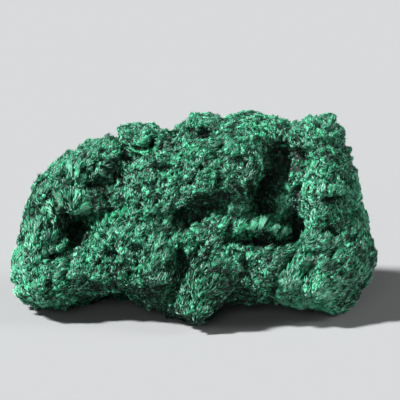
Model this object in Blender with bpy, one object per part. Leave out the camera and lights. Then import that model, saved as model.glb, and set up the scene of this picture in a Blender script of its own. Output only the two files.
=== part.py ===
"""Malachite specimen: one lump of fibrous malachite, 100 mm wide, that stands on three low feet.

The lump is modelled in the frame of its broad face: `across` runs to the right, `up` runs up the
face and `forward` runs out of it. The face then leans back, and the lump is set down on z = 0 with
the middle of its bounding box over the origin.
"""
import math

import bmesh
import bpy
import numpy as np
from mathutils import Vector, noise

MM = 0.001

# Driving dimensions, in metres
FACE_BULGE = 15.0 * MM          # how far the broad face stands forward of the rim
BACK_BULGE = 19.0 * MM          # how far the back stands behind the rim
FACE_LEAN = math.radians(14.0)  # the broad face leans back from upright by this much
GROUND_DROP = 25.9 * MM         # height of the face's centre above what the lump stands on
TOP_SQUARENESS = 2.5            # exponent of the section: 2 is an ellipse, more is boxier
FOOT_SQUARENESS = 6.0           # the face drops almost straight to the feet, then turns under
BACK_SQUARENESS = 2.4
FACE_TAPER = 0.03               # the face is smaller than the rim by this part of it
RIM_FADE = 0.35                 # the rim's notches are gone this far round towards the back
RIM_AVERAGE = 9                 # steps each way that average them

# Mesh sizes
SPHERE_DIVISIONS = 7
CLUMP_GRID = 1.15 * MM          # grain of the closed skin that joins all the forms
TRIANGLE_TARGET = 8200
SMOOTHING_STEPS = 2
WELD_DISTANCE = 0.02 * MM

# Roughness of the broken surface: size of the lumps and how far they stand up
COARSE_LUMP = 17.0 * MM
COARSE_RISE = 7.0 * MM
FINE_LUMP = 6.5 * MM
FINE_RISE = 2.6 * MM
FACE_ROUGHNESS = 0.25           # the face's own forms carry most of its relief
LUMP_MEAN = 0.2                 # the average lump neither grows nor shrinks the stone
NOISE_ORIGIN = Vector((3.7, 1.9, 8.3))

# The rim, seen square on to the face, anticlockwise from the right: across, up, forward (mm)
RIM = (
    (47.1, 0.0, 2.0), (45.4, 6.6, 1.0), (44.2, 11.0, 0.0), (42.4, 16.0, -1.0), (42.0, 20.2, -2.0),
    (41.6, 24.6, -2.5), (38.8, 28.1, -3.0), (34.0, 27.9, -3.0), (31.9, 27.5, -3.0),
    (28.0, 24.2, -4.5), (26.8, 25.6, -4.5), (24.0, 26.4, -4.0), (20.7, 26.0, -3.5),
    (18.2, 27.6, -3.0), (15.0, 29.1, -3.0), (12.6, 28.7, -3.5), (10.3, 27.3, -4.0),
    (7.5, 26.4, -4.5), (3.9, 28.4, -4.0), (-1.1, 27.8, -4.0), (-3.4, 25.2, -4.5),
    (-5.5, 22.7, -5.0), (-8.9, 23.1, -4.0), (-14.5, 24.7, -3.5), (-20.3, 23.8, -4.0),
    (-20.9, 21.6, -4.5), (-24.0, 21.6, -4.0), (-28.6, 20.9, -3.0), (-33.0, 18.1, -3.0),
    (-37.3, 16.0, -2.5), (-41.0, 12.9, -2.0), (-43.6, 9.6, -2.0), (-46.9, 4.5, -2.0),
    (-48.2, 0.2, -2.0), (-48.0, -5.0, -1.5), (-51.0, -13.8, -0.5), (-51.2, -15.8, 0.0),
    (-50.2, -18.0, 0.0), (-49.8, -21.6, 0.0), (-47.8, -24.0, -0.5), (-41.6, -25.0, -1.0),
    (-37.4, -25.5, -1.5), (-31.0, -24.0, -1.5), (-27.4, -21.2, -1.0), (-23.2, -20.2, 0.0),
    (-18.7, -20.6, 2.0), (-15.9, -24.2, 5.0), (-11.7, -25.2, 7.0), (-6.0, -26.2, 10.0),
    (-3.2, -28.0, 12.0), (-0.3, -30.2, 12.5), (2.6, -28.0, 12.0), (4.9, -25.4, 11.0),
    (8.2, -24.0, 10.0), (14.0, -23.1, 8.5), (20.9, -22.8, 7.0), (26.8, -24.3, 5.0),
    (31.0, -24.8, 4.0), (37.4, -26.0, 2.5), (41.0, -27.4, 2.0), (43.6, -25.8, 2.0),
    (45.0, -22.3, 2.5), (46.6, -17.9, 3.0), (47.8, -15.1, 3.0), (49.5, -12.8, 3.0),
    (49.7, -10.6, 3.0), (48.5, -6.0, 2.5),
)

SOFT = 1.0
FIRM = 2.0
STEEP = 3.5

# Forms of the face: across, up, half length, half width (mm), turn of the length from the
# across direction (degrees), rise forward (mm), shape of the edge
FACE_FORMS = {
    "left rim, upper": (-39.0, 10.0, 9.0, 4.0, 51.0, 3.0, SOFT),
    "left rim, lower": (-43.5, -4.5, 9.5, 3.6, 80.0, 4.0, SOFT),
    "left foot": (-41.0, -18.0, 8.0, 6.0, 0.0, 4.0, SOFT),
    "left foot, toe": (-41.5, -22.8, 7.0, 3.2, 0.0, 5.0, SOFT),
    "left hollow": (-32.5, -3.2, 6.6, 4.2, 84.0, -11.5, FIRM),
    "left hollow, lower end": (-38.4, -11.4, 4.0, 2.0, 28.0, -4.0, SOFT),
    "left hollow, upper end": (-33.5, 4.5, 3.6, 2.6, 60.0, -1.5, SOFT),
    "left hollow, fan": (-28.0, 2.0, 3.6, 2.6, -30.0, 3.0, SOFT),
    "upper left shoulder": (-26.5, 17.0, 9.0, 3.4, 20.0, 3.0, SOFT),
    "left waist": (-22.0, 9.8, 5.6, 3.6, 60.0, -6.5, SOFT),
    "waist, lower end": (-27.4, 6.2, 3.4, 2.8, 40.0, -1.5, SOFT),
    "slope over the waist": (-14.5, 2.0, 8.0, 4.0, 75.0, 3.0, SOFT),
    "slope, lower end": (-21.5, -5.5, 7.0, 3.0, 32.0, 3.5, SOFT),
    "lower band": (-24.0, -18.5, 12.0, 3.6, 0.0, 4.5, SOFT),
    "lower band, crown": (-16.0, -11.6, 5.6, 3.2, 20.0, 3.6, SOFT),
    "upper bulge": (-10.0, -9.0, 4.4, 4.0, 20.0, 3.0, SOFT),
    "lower bulge": (-10.5, -15.5, 4.6, 4.2, 70.0, 3.0, SOFT),
    "small knob": (-15.4, 20.6, 4.6, 3.4, 0.0, 3.4, FIRM),
    "groove under the knob": (-13.6, 16.2, 5.2, 1.5, 0.0, -2.2, SOFT),
    "pit by the shoulder": (-29.6, 11.2, 2.2, 1.8, 0.0, -1.8, SOFT),
    "middle mass": (-5.5, 6.0, 15.0, 11.0, 20.0, 3.0, SOFT),
    "boulder": (8.5, 13.0, 14.0, 10.0, 12.0, 5.5, FIRM),
    "boulder, crown": (2.0, 18.6, 12.0, 3.8, 12.0, 2.6, SOFT),
    "boulder, right shoulder": (12.5, 14.0, 8.0, 4.6, 70.0, 2.0, FIRM),
    "boulder, right slope": (17.8, 10.0, 8.5, 4.2, 66.0, -2.5, SOFT),
    "recess under the boulder": (1.4, 1.2, 8.8, 3.2, 22.0, -7.2, SOFT),
    "bridge left of the recess": (-17.0, -7.8, 8.0, 3.0, 32.0, 3.0, SOFT),
    "ledge, right end": (9.0, -1.8, 5.0, 3.6, 45.0, 3.0, SOFT),
    "ledge": (1.0, -6.0, 10.0, 4.2, 5.0, 3.0, SOFT),
    "top lobe, left": (2.8, 25.0, 4.5, 3.0, 0.0, 2.5, SOFT),
    "top lobe, middle": (14.5, 25.0, 5.0, 3.4, 0.0, 3.0, SOFT),
    "top lobe, right": (22.5, 22.0, 4.0, 3.0, 0.0, 1.5, SOFT),
    "top saddle": (-5.4, 21.5, 3.6, 3.4, 0.0, -2.5, SOFT),
    "crater": (2.2, 22.8, 2.6, 2.1, 0.0, -3.0, SOFT),
    "pocket, upper": (23.8, 15.0, 6.0, 4.2, 76.0, -9.5, FIRM),
    "pocket, lower": (18.6, 5.6, 5.8, 4.0, 80.0, -12.5, STEEP),
    "pocket, right side": (25.6, 3.8, 6.6, 3.6, 80.0, -4.5, FIRM),
    "shelf hollow": (19.6, -2.6, 10.2, 5.2, -2.0, -5.0, STEEP),
    "shelf": (16.8, -3.6, 6.6, 3.0, -4.0, 7.5, SOFT),
    "groove under the shelf": (19.0, -7.2, 9.2, 1.3, -3.0, -8.0, FIRM),
    "groove beside the shelf": (28.2, -3.4, 4.8, 2.0, 65.0, -6.5, SOFT),
    "groove at the shelf end": (9.8, -4.8, 3.6, 1.4, 70.0, -4.0, SOFT),
    "right ridge, upper": (34.6, 21.0, 8.5, 4.6, -62.0, 5.5, SOFT),
    "right ridge, bulge": (35.6, 8.8, 8.4, 5.0, 80.0, 8.0, FIRM),
    "right ridge, notch": (32.0, 15.6, 3.4, 2.2, 10.0, -2.0, SOFT),
    "right ridge, lower": (33.6, -3.0, 7.0, 4.8, 95.0, 3.5, SOFT),
    "right edge ridge": (43.0, 3.0, 10.0, 3.4, -78.0, 3.5, SOFT),
    "right pit, upper": (40.0, 17.0, 3.0, 3.0, 0.0, -2.0, SOFT),
    "right pit, middle": (38.0, 4.0, 2.8, 1.9, 15.0, -3.8, SOFT),
    "right pit, lower": (36.6, -4.6, 2.4, 2.0, 0.0, -2.0, SOFT),
    "right pit, outer": (41.9, -6.6, 2.6, 2.2, 0.0, -1.5, SOFT),
    "lower right mass": (31.0, -15.5, 15.0, 8.0, 5.0, 5.0, SOFT),
    "lower right tuft, left": (23.7, -19.9, 4.2, 3.0, 60.0, 2.5, SOFT),
    "lower right tuft, middle": (32.7, -21.5, 4.6, 3.0, 50.0, 2.5, SOFT),
    "lower middle mass": (15.5, -14.5, 7.0, 4.6, 0.0, 3.5, SOFT),
    "lower middle dimple": (14.2, -15.2, 3.2, 2.8, 0.0, -3.2, SOFT),
    "nose": (4.4, -19.5, 11.0, 4.2, 76.0, 5.5, SOFT),
    "valley beside the nose": (-2.7, -15.6, 8.2, 3.8, 76.0, -4.5, SOFT),
    "undercut, left": (-22.0, -23.4, 20.0, 3.0, 2.0, -6.0, SOFT),
    "undercut, right": (15.5, -23.4, 12.0, 3.0, 0.0, -6.0, SOFT),
    "lower right turn": (45.0, -18.5, 8.0, 4.0, 60.0, -2.0, SOFT),
    "lower right edge": (42.5, -11.0, 9.0, 4.4, -75.0, 3.5, SOFT),
}

# Forms of the back, in the same terms; a rise here is backward
BACK_FORMS = {
    "back hump": (-14.0, 4.0, 20.0, 12.0, 15.0, 3.5, SOFT),
    "back shoulder": (24.0, 8.0, 12.0, 9.0, 60.0, 3.0, SOFT),
    "back cleft": (6.0, 2.0, 18.0, 3.0, 68.0, -5.0, SOFT),
    "back step": (-28.0, -12.0, 14.0, 6.0, 0.0, -3.5, SOFT),
    "back foot": (18.0, -16.0, 14.0, 6.0, 0.0, 3.0, SOFT),
    "back pit": (-30.0, 12.0, 5.0, 4.0, 30.0, -3.5, SOFT),
    "back scar": (34.0, -6.0, 7.0, 6.0, 0.0, -4.0, FIRM),
}


# The feet, on the leaned lump: x, y, radius, drop (mm); the third foot is the nose itself
FEET = {
    "left foot": (-35.0, 7.5, 8.5, 8.0),
    "right foot": (35.5, 6.0, 8.5, 8.0),
}
FOOT_HEIGHT = 9.0 * MM          # the feet draw down only what lies lower than this


def remove_everything():
    """Empty the scene."""
    for item in list(bpy.data.objects):
        bpy.data.objects.remove(item, do_unlink=True)


def rim_reach(angles):
    """Radius of the rim and how far forward it runs, at each angle about the face's centre."""
    rim = np.array(RIM) * MM
    rim_angles = np.mod(np.arctan2(rim[:, 1], rim[:, 0]), 2.0 * math.pi)
    order = np.argsort(rim_angles)
    radii = np.hypot(rim[:, 0], rim[:, 1])
    turn = 2.0 * math.pi
    radius = np.interp(angles, rim_angles[order], radii[order], period=turn)
    forward = np.interp(angles, rim_angles[order], rim[order, 2], period=turn)
    return radius, forward


def smoothed_reach(angles):
    """Radius of the rim with its notches averaged away, for the parts far behind it."""
    steps = np.arange(-RIM_AVERAGE, RIM_AVERAGE + 1) * math.radians(1.5)
    return sum(rim_reach(angles + step)[0] for step in steps) / len(steps)


def form_rise(across, up, form):
    """Rise of one form at each place on the face."""
    centre_across, centre_up, half_length, half_width, turn, rise, edge = form
    cosine = math.cos(math.radians(turn))
    sine = math.sin(math.radians(turn))
    off_across = across - centre_across * MM
    off_up = up - centre_up * MM
    along = (off_across * cosine + off_up * sine) / (half_length * MM)
    beside = (off_up * cosine - off_across * sine) / (half_width * MM)
    return rise * MM * np.exp(-(along ** 2 + beside ** 2) ** edge)


def lump_points(sphere):
    """Places on the lump, in the face's frame, for the points of a unit sphere."""
    reach = np.clip(np.hypot(sphere[:, 0], sphere[:, 1]), 0.0, 1.0)
    angles = np.mod(np.arctan2(sphere[:, 1], sphere[:, 0]), 2.0 * math.pi)
    radius, forward = rim_reach(angles)
    behind = np.clip(-sphere[:, 2] / RIM_FADE, 0.0, 1.0)
    radius += (smoothed_reach(angles) - radius) * behind
    front = sphere[:, 2] >= 0.0
    footward = np.clip(-1.6 * np.sin(angles), 0.0, 1.0)
    face_squareness = TOP_SQUARENESS + (FOOT_SQUARENESS - TOP_SQUARENESS) * footward
    squareness = np.where(front, face_squareness, BACK_SQUARENESS)
    bulge = np.where(front, FACE_BULGE, -BACK_BULGE)
    fullness = (1.0 - reach ** squareness) ** (1.0 / squareness)
    radius *= 1.0 - np.where(front, FACE_TAPER, 0.0) * fullness
    across = radius * reach * np.cos(angles)
    up = radius * reach * np.sin(angles)
    depth = forward * reach + bulge * fullness

    face_weight = np.clip(sphere[:, 2] / 0.3, 0.0, 1.0)
    for form in FACE_FORMS.values():
        depth += face_weight * form_rise(across, up, form)
    back_weight = np.clip(-sphere[:, 2] / 0.4, 0.0, 1.0)
    for form in BACK_FORMS.values():
        depth -= back_weight * form_rise(across, up, form)
    return np.column_stack((across, up, depth))


def roughen(points, outward):
    """Rounded lumps with creases between them, on the face, the sides and the back."""
    backward = np.clip(-2.5 * outward[:, 2], 0.0, 1.0)
    amount = FACE_ROUGHNESS + (1.0 - FACE_ROUGHNESS) * backward
    for index in range(len(points)):
        place = Vector(points[index])
        coarse = (abs(noise.noise(place / COARSE_LUMP + NOISE_ORIGIN)) - LUMP_MEAN) * COARSE_RISE
        fine = (abs(noise.noise(place / FINE_LUMP + NOISE_ORIGIN)) - LUMP_MEAN) * FINE_RISE
        points[index] += outward[index] * (coarse + fine) * amount[index]


def stand_up(points):
    """Lean the face back, lift the lump to its height and draw its feet down."""
    sine = math.sin(FACE_LEAN)
    cosine = math.cos(FACE_LEAN)
    x = points[:, 0]
    y = points[:, 1] * sine - points[:, 2] * cosine
    z = points[:, 1] * cosine + points[:, 2] * sine + GROUND_DROP
    underside = np.clip(1.0 - z / FOOT_HEIGHT, 0.0, 1.0)
    for foot_x, foot_y, foot_radius, drop in FEET.values():
        distance = np.hypot(x - foot_x * MM, y - foot_y * MM) / (foot_radius * MM)
        z = z - underside * drop * MM * np.exp(-distance ** 2)
    return np.column_stack((x, y, z))


def closed_skin(name):
    """The standing lump as one closed mesh object."""
    mesh = bpy.data.meshes.new(name)
    lump = bpy.data.objects.new(name, mesh)
    bpy.context.scene.collection.objects.link(lump)
    shape = bmesh.new()
    bmesh.ops.create_icosphere(shape, subdivisions=SPHERE_DIVISIONS, radius=1.0)
    shape.to_mesh(mesh)
    shape.free()
    sphere = np.empty(len(mesh.vertices) * 3)
    mesh.vertices.foreach_get("co", sphere)
    sphere = sphere.reshape(-1, 3)
    points = lump_points(sphere)
    roughen(points, sphere)
    mesh.vertices.foreach_set("co", stand_up(points).ravel())
    mesh.update()
    return lump


def settle(lump):
    """Turn the object's modifiers into its own mesh."""
    graph = bpy.context.evaluated_depsgraph_get()
    settled = bpy.data.meshes.new_from_object(lump.evaluated_get(graph))
    old_mesh = lump.data
    lump.modifiers.clear()
    lump.data = settled
    bpy.data.meshes.remove(old_mesh)


def even_out(lump):
    """Give the skin an even grain, then as few triangles as its shape needs."""
    remesh = lump.modifiers.new("even grain", "REMESH")
    remesh.mode = "VOXEL"
    remesh.voxel_size = CLUMP_GRID
    smooth = lump.modifiers.new("ease", "SMOOTH")
    smooth.factor = 0.5
    smooth.iterations = SMOOTHING_STEPS
    triangles = lump.modifiers.new("triangles", "TRIANGULATE")
    triangles.quad_method = "SHORTEST_DIAGONAL"
    settle(lump)
    decimate = lump.modifiers.new("fewer triangles", "DECIMATE")
    decimate.ratio = TRIANGLE_TARGET / len(lump.data.polygons)
    decimate.use_collapse_triangulate = True
    settle(lump)


def cut_feet(lump):
    """Cut the feet flat on z = 0 and bring the middle of the lump over the origin."""
    shape = bmesh.new()
    shape.from_mesh(lump.data)
    everything = shape.verts[:] + shape.edges[:] + shape.faces[:]
    cut = bmesh.ops.bisect_plane(
        shape, geom=everything, plane_co=(0.0, 0.0, 0.0), plane_no=(0.0, 0.0, 1.0), clear_inner=True
    )
    cut_edges = [piece for piece in cut["geom_cut"] if isinstance(piece, bmesh.types.BMEdge)]
    bmesh.ops.holes_fill(shape, edges=cut_edges, sides=0)
    bmesh.ops.remove_doubles(shape, verts=shape.verts[:], dist=WELD_DISTANCE)
    bmesh.ops.dissolve_degenerate(shape, dist=WELD_DISTANCE, edges=shape.edges[:])
    bmesh.ops.triangulate(shape, faces=shape.faces[:])
    bmesh.ops.recalc_face_normals(shape, faces=shape.faces[:])
    places = np.array([point.co[:] for point in shape.verts])
    middle = (places.min(axis=0) + places.max(axis=0)) / 2.0
    bmesh.ops.translate(shape, vec=(-middle[0], -middle[1], 0.0), verts=shape.verts[:])
    shape.to_mesh(lump.data)
    shape.free()


def fibrous_malachite():
    """Green crystal felt: a dull, silky, non-metallic stone."""
    material = bpy.data.materials.new("fibrous malachite")
    material.use_nodes = True
    surface = material.node_tree.nodes["Principled BSDF"]
    surface.inputs["Base Color"].default_value = (0.02, 0.24, 0.13, 1.0)
    surface.inputs["Roughness"].default_value = 0.7
    surface.inputs["Metallic"].default_value = 0.0
    return material


def main():
    remove_everything()
    specimen = closed_skin("malachite_specimen")
    even_out(specimen)
    cut_feet(specimen)
    specimen.data.materials.clear()
    specimen.data.materials.append(fibrous_malachite())
    specimen.data.shade_flat()


main()
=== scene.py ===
"""Velvet malachite: one lump of copper carbonate, overgrown with fine silky needles.

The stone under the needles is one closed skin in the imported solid's place. The needles stand on it
in tufts and sheaves that lie the way the crystals grew, and nothing leaves the solid's box.
"""
import math

import bmesh
import bpy
import numpy as np
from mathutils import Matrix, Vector, kdtree, noise
from mathutils.bvhtree import BVHTree


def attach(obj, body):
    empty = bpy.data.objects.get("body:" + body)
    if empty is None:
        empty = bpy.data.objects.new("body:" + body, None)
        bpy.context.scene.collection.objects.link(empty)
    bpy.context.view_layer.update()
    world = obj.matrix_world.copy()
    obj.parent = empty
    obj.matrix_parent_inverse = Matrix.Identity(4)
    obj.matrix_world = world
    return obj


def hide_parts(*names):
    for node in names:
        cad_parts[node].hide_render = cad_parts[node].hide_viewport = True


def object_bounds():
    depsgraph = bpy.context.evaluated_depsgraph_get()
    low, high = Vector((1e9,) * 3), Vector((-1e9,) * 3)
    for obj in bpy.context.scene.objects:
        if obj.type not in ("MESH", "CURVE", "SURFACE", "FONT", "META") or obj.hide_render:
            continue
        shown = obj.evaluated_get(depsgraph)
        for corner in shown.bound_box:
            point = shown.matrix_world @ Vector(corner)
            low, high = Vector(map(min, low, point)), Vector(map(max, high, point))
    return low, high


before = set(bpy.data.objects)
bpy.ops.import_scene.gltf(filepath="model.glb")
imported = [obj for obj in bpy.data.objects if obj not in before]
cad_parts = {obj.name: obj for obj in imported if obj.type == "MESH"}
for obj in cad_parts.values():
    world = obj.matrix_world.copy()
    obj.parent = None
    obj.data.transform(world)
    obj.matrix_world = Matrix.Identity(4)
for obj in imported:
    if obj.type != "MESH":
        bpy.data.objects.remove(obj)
cad_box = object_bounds()

MM = 0.001
STONE = "malachite_specimen"
RNG = np.random.default_rng(1907)

# The broad face leans back. Places on it are given in mm: across to the right and up the lean,
# from its middle. `forward` comes straight out of it.
FACE_LEAN = math.radians(14.0)
FACE_MIDDLE = np.array((0.32, 2.88, 25.9))
RIGHT = np.array((1.0, 0.0, 0.0))
UP_FACE = np.array((0.0, math.sin(FACE_LEAN), math.cos(FACE_LEAN)))
FORWARD = np.array((0.0, -math.cos(FACE_LEAN), math.sin(FACE_LEAN)))

# Each scatter has a seed of its own, so that a change to one leaves the others as they are
LIGHT_SEED, PIT_SEED, PIT_SIZE_SEED, CRAG_SEED, CRAG_TILT_SEED = 5, 77, 78, 611, 612
TUFT_SEED, CLUMP_SEED = 909, 4242

# Skin under the needles
SKIN_GRAIN = 0.36 * MM
SKIN_SMOOTHING = 6
SKIN_DEPTH = 0.25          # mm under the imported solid's surface, before the lumps
SKIN_FACES = 190000        # triangles, after the thinning
FACING_STEPS = 25          # how far the way that the stone faces is evened out
LUMPS = ((6.0, 0.50), (2.7, 0.20))     # mm across, mm of rise: the broken, knobbly surface
SPOT_TRIES = 90000         # places tried for one spot to each cell of a grid
CELLS = 4001               # more than any grid has in one direction
IN_FRONT = 40.0            # mm in front of the middle of the face, clear of the stone

# Small pits
PIT_GRID = 5.0             # mm, about one small pit to a cell
PIT_SHARE = 0.6            # of the cells have one
PIT_RADIUS = (0.6, 1.5)    # mm
PIT_DEPTH = (0.7, 1.5)     # to each mm of radius
PIT_ON_FACE = 0.5          # of that depth on the broad face, which has named pits of its own

# Crags: broken ends of crystal bundles, each a small face with a tilt of its own
CRAG_GRID = 3.1            # mm, one crag to a cell
CRAG_RISE = 0.30           # mm, how much they differ in height
CRAG_TILT = 0.24           # mm of rise to each mm along
CRAG_LIMITS = (-1.3, 1.1)  # mm
CRAG_CREASE = 0.35         # mm that the crease between two crags is deep

# How far and in how many directions each clump looks out for walls round it
OPEN_REACH = 14.0 * MM
OPEN_RAYS = 16

# Needles. Real ones are mostly under 0.1 mm thick. These are 0.14 to 0.42 mm thick at the root,
# because finer ones wouldn't show.
NEEDLE_COUNT = 194000
TUFT_RADIUS = (0.13, 0.24)     # mm from its axis to each of the root's three corners
SHEAF_RADIUS = (0.09, 0.15)
EDGE_RADIUS = (0.10, 0.15)
TUFT_SUNK = 0.12               # mm of the root that is in the stone
SHEAF_SUNK = 0.25
EDGE_SUNK = 0.40

# Tufts
CLUMP_GRID = 1.30          # mm, one clump of tufts to a cell
CLUMP_RISE = 0.30          # mm that the stone under a clump stands above the gaps
TUFT_GRID = 0.72           # mm, one tuft to a cell
CLUMP_TONE = 0.09          # how much clumps, tufts and single needles differ in tone
TUFT_TONE = 0.12
NEEDLE_TONE = 0.56
TUFT_LEAN_LIMITS = (0.05, 1.48)    # radians off upright

# What a tuft or a clump is in a felt that stands up (order 0), and how much more where the needles
# are combed flat (order 1)
TUFT_HABIT = {
    "lean": (60.0, 22.0),              # degrees off upright
    "lean scatter": (14.0, -9.0),
    "veer scatter": (66.0, -54.0),     # degrees off the lie
    "fan": (34.0, -26.0),              # degrees that one tuft spreads
    "along": (0.40, 0.30),             # cells that it reaches along the lie
    "aside": (0.40, -0.10),            # cells that it reaches across the lie
    "steady": (0.4, 0.5),              # how little it follows the broken stone under it
    "size": (0.46, 0.26),              # of the needle length that its place has
    "clump along": (0.72, 1.00),       # cells
    "clump aside": (0.72, -0.34),
}

# Painted shade: how much of its tone a place loses when it is shut in, under an overhang, in the gap
# between two clumps, sunk (to each mm), pinched in a crease (to each mm) or in a named pit (to each
# mm)
SHUT_IN_SHADE, OVERHUNG_SHADE, GAP_SHADE, SUNK_SHADE, PINCHED_SHADE, PIT_SHADE = 0.65, 0.30, 0.35, 0.5, 0.8, 0.26
PLAIN_TONE = 0.60
SUNK_STEPS, PINCHED_STEPS = 40, 6      # how wide round it each of the two is judged

PLAIN_LIE = (1.0, 0.55, 1.8, 0.0, 0.4)     # where no named place is near: lie (radians), order,
PLAIN_WEIGHT = 0.02                        # needle length (mm), tone, grey
BACK_STARTS, BACK_WHOLE = -4.0, -10.0      # mm forward of the middle
SWIRL = 16.0                               # degrees that the lie wanders
PIECES = ("needles_left_end", "needles_left_middle", "needles_right_middle", "needles_right_end")

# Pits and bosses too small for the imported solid:
# across, up, half length, half width (mm), turn (degrees), rise (mm)
SMALL_FORMS = {
    "crater": (2.2, 22.8, 3.2, 1.9, 0.0, -3.6),
    "crater, rim": (2.6, 20.0, 3.2, 1.0, 10.0, 0.8),
    "knob, left bead": (-19.6, 22.2, 1.5, 1.3, 0.0, 1.0),
    "knob, top bead": (-16.4, 22.8, 1.9, 1.2, 0.0, 0.9),
    "knob, middle": (-14.6, 20.4, 1.9, 1.4, 40.0, 1.2),
    "knob, right bead": (-9.8, 21.8, 1.3, 1.2, 0.0, 0.9),
    "knob, left pit": (-18.3, 20.9, 1.0, 0.9, 0.0, -1.6),
    "knob, upper pit": (-15.6, 22.4, 0.8, 0.7, 0.0, -1.2),
    "knob, slot": (-11.2, 20.5, 1.7, 0.9, 72.0, -4.2),
    "knob, crevice": (-15.0, 18.4, 2.6, 0.9, -10.0, -4.0),
    "knob, crevice, right": (-12.4, 18.8, 1.3, 0.8, 50.0, -3.2),
    "plate edge, left": (-17.2, 17.6, 1.6, 0.5, -35.0, 1.2),
    "plate edge, middle": (-14.4, 17.1, 2.0, 0.5, 0.0, 1.3),
    "plate edge, right": (-11.2, 18.2, 1.8, 0.5, 38.0, 1.2),
    "shoulder pit": (-30.8, 11.8, 1.6, 1.2, 30.0, -1.8),
    "shoulder pit, low": (-33.6, 8.4, 1.5, 1.2, 0.0, -1.2),
    "shoulder slot": (-28.0, 13.2, 1.3, 0.8, 80.0, -2.0),
    "waist, floor": (-23.0, 11.4, 4.0, 2.6, 60.0, 0.6),
    "hollow, right wall": (-30.8, 0.6, 3.4, 1.5, 82.0, 1.6),
    "hollow, upper right wall": (-31.0, 2.6, 3.4, 2.3, 36.0, 3.8),
    "hollow, upper wall": (-34.4, 3.6, 2.8, 2.4, 96.0, 2.4),
    "waist pit, high": (-19.4, 15.8, 1.5, 1.1, 20.0, -1.5),
    "fold under the hollow": (-38.6, -11.6, 2.4, 0.9, 10.0, -1.8),
    "lower left pit": (-43.2, -17.2, 1.4, 1.1, 0.0, -1.3),
    "lower bulge pit": (-22.8, -9.6, 1.8, 1.0, 60.0, -1.0),
    "boulder, left pit": (-8.6, 12.6, 1.7, 1.2, 50.0, -1.6),
    "boulder, low pit": (-8.8, 8.6, 1.4, 1.0, 40.0, -1.4),
    "boulder, furrow": (-1.6, 9.2, 4.4, 0.8, 44.0, -1.2),
    "boulder, middle pit": (0.0, 15.4, 1.3, 1.0, 30.0, -1.2),
    "boulder, right pit": (5.6, 9.4, 1.6, 1.0, 20.0, -1.6),
    "boulder, lip": (5.2, 10.2, 2.2, 0.7, 70.0, 1.2),
    "boulder, edge": (16.4, 9.0, 5.0, 0.9, 74.0, 1.0),
    "ledge pit": (1.0, -1.4, 1.6, 1.0, 20.0, -2.0),
    "recess, floor": (4.8, 2.8, 5.0, 2.4, 25.0, 0.2),
    "pocket, felt at the right": (25.0, 2.6, 5.4, 2.4, 84.0, 1.1),
    "right flank pit": (32.6, 8.2, 0.9, 1.2, 0.0, -1.6),
    "flank, left edge": (28.4, 8.0, 9.0, 1.5, 84.0, -1.6),
    "right crest notch": (33.8, 13.6, 1.0, 1.6, 60.0, -1.3),
    "right pit, deep": (37.6, 4.2, 1.9, 1.0, 20.0, -2.2),
    "right lower pit": (36.0, -3.9, 1.3, 0.9, 10.0, -1.5),
    "right edge pit": (42.4, -5.9, 1.4, 1.0, -30.0, -1.5),
    "shelf, dark end": (28.2, -4.0, 3.0, 1.5, 78.0, -2.6),
    "shelf, left crack": (9.8, -3.8, 3.0, 0.6, 75.0, -1.6),
    "shelf, gap": (17.8, -7.4, 7.4, 0.7, 2.0, -2.2),
    "shelf, gap between leaves": (14.2, -3.4, 3.4, 0.5, 64.0, -1.4),
    "shelf, gap between leaves, right": (19.3, -3.6, 3.4, 0.5, 62.0, -1.2),
    "lower right crack": (23.9, -15.4, 4.6, 0.45, 60.0, -2.2),
    "foot, ledge": (31.5, -21.0, 4.0, 2.2, 10.0, 1.6),
    "lower middle pit": (12.8, -16.4, 1.6, 1.2, 0.0, -1.3),
    "ridge line by the nose": (-1.8, -14.4, 5.0, 0.7, 66.0, -1.2),
    "rim pit, high": (-36.6, 10.1, 1.4, 1.1, 60.0, -1.8),
    "rim pit": (-39.7, 5.6, 1.5, 0.9, 70.0, -1.6),
    "shoulder pit, right": (-29.9, 8.1, 1.4, 1.0, 70.0, -0.8),
    "rim pit, low": (-39.9, -3.6, 1.2, 0.8, 80.0, -1.5),
    "slope pit": (-26.8, -10.3, 1.1, 1.0, 0.0, -1.6),
    "top pit": (10.3, 22.9, 1.4, 1.1, 30.0, -1.8),
    "top pit, low": (7.5, 20.1, 1.2, 0.9, 40.0, -1.5),
    "top pit, left": (-9.6, 19.0, 1.1, 0.9, 0.0, -1.5),
}
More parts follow.
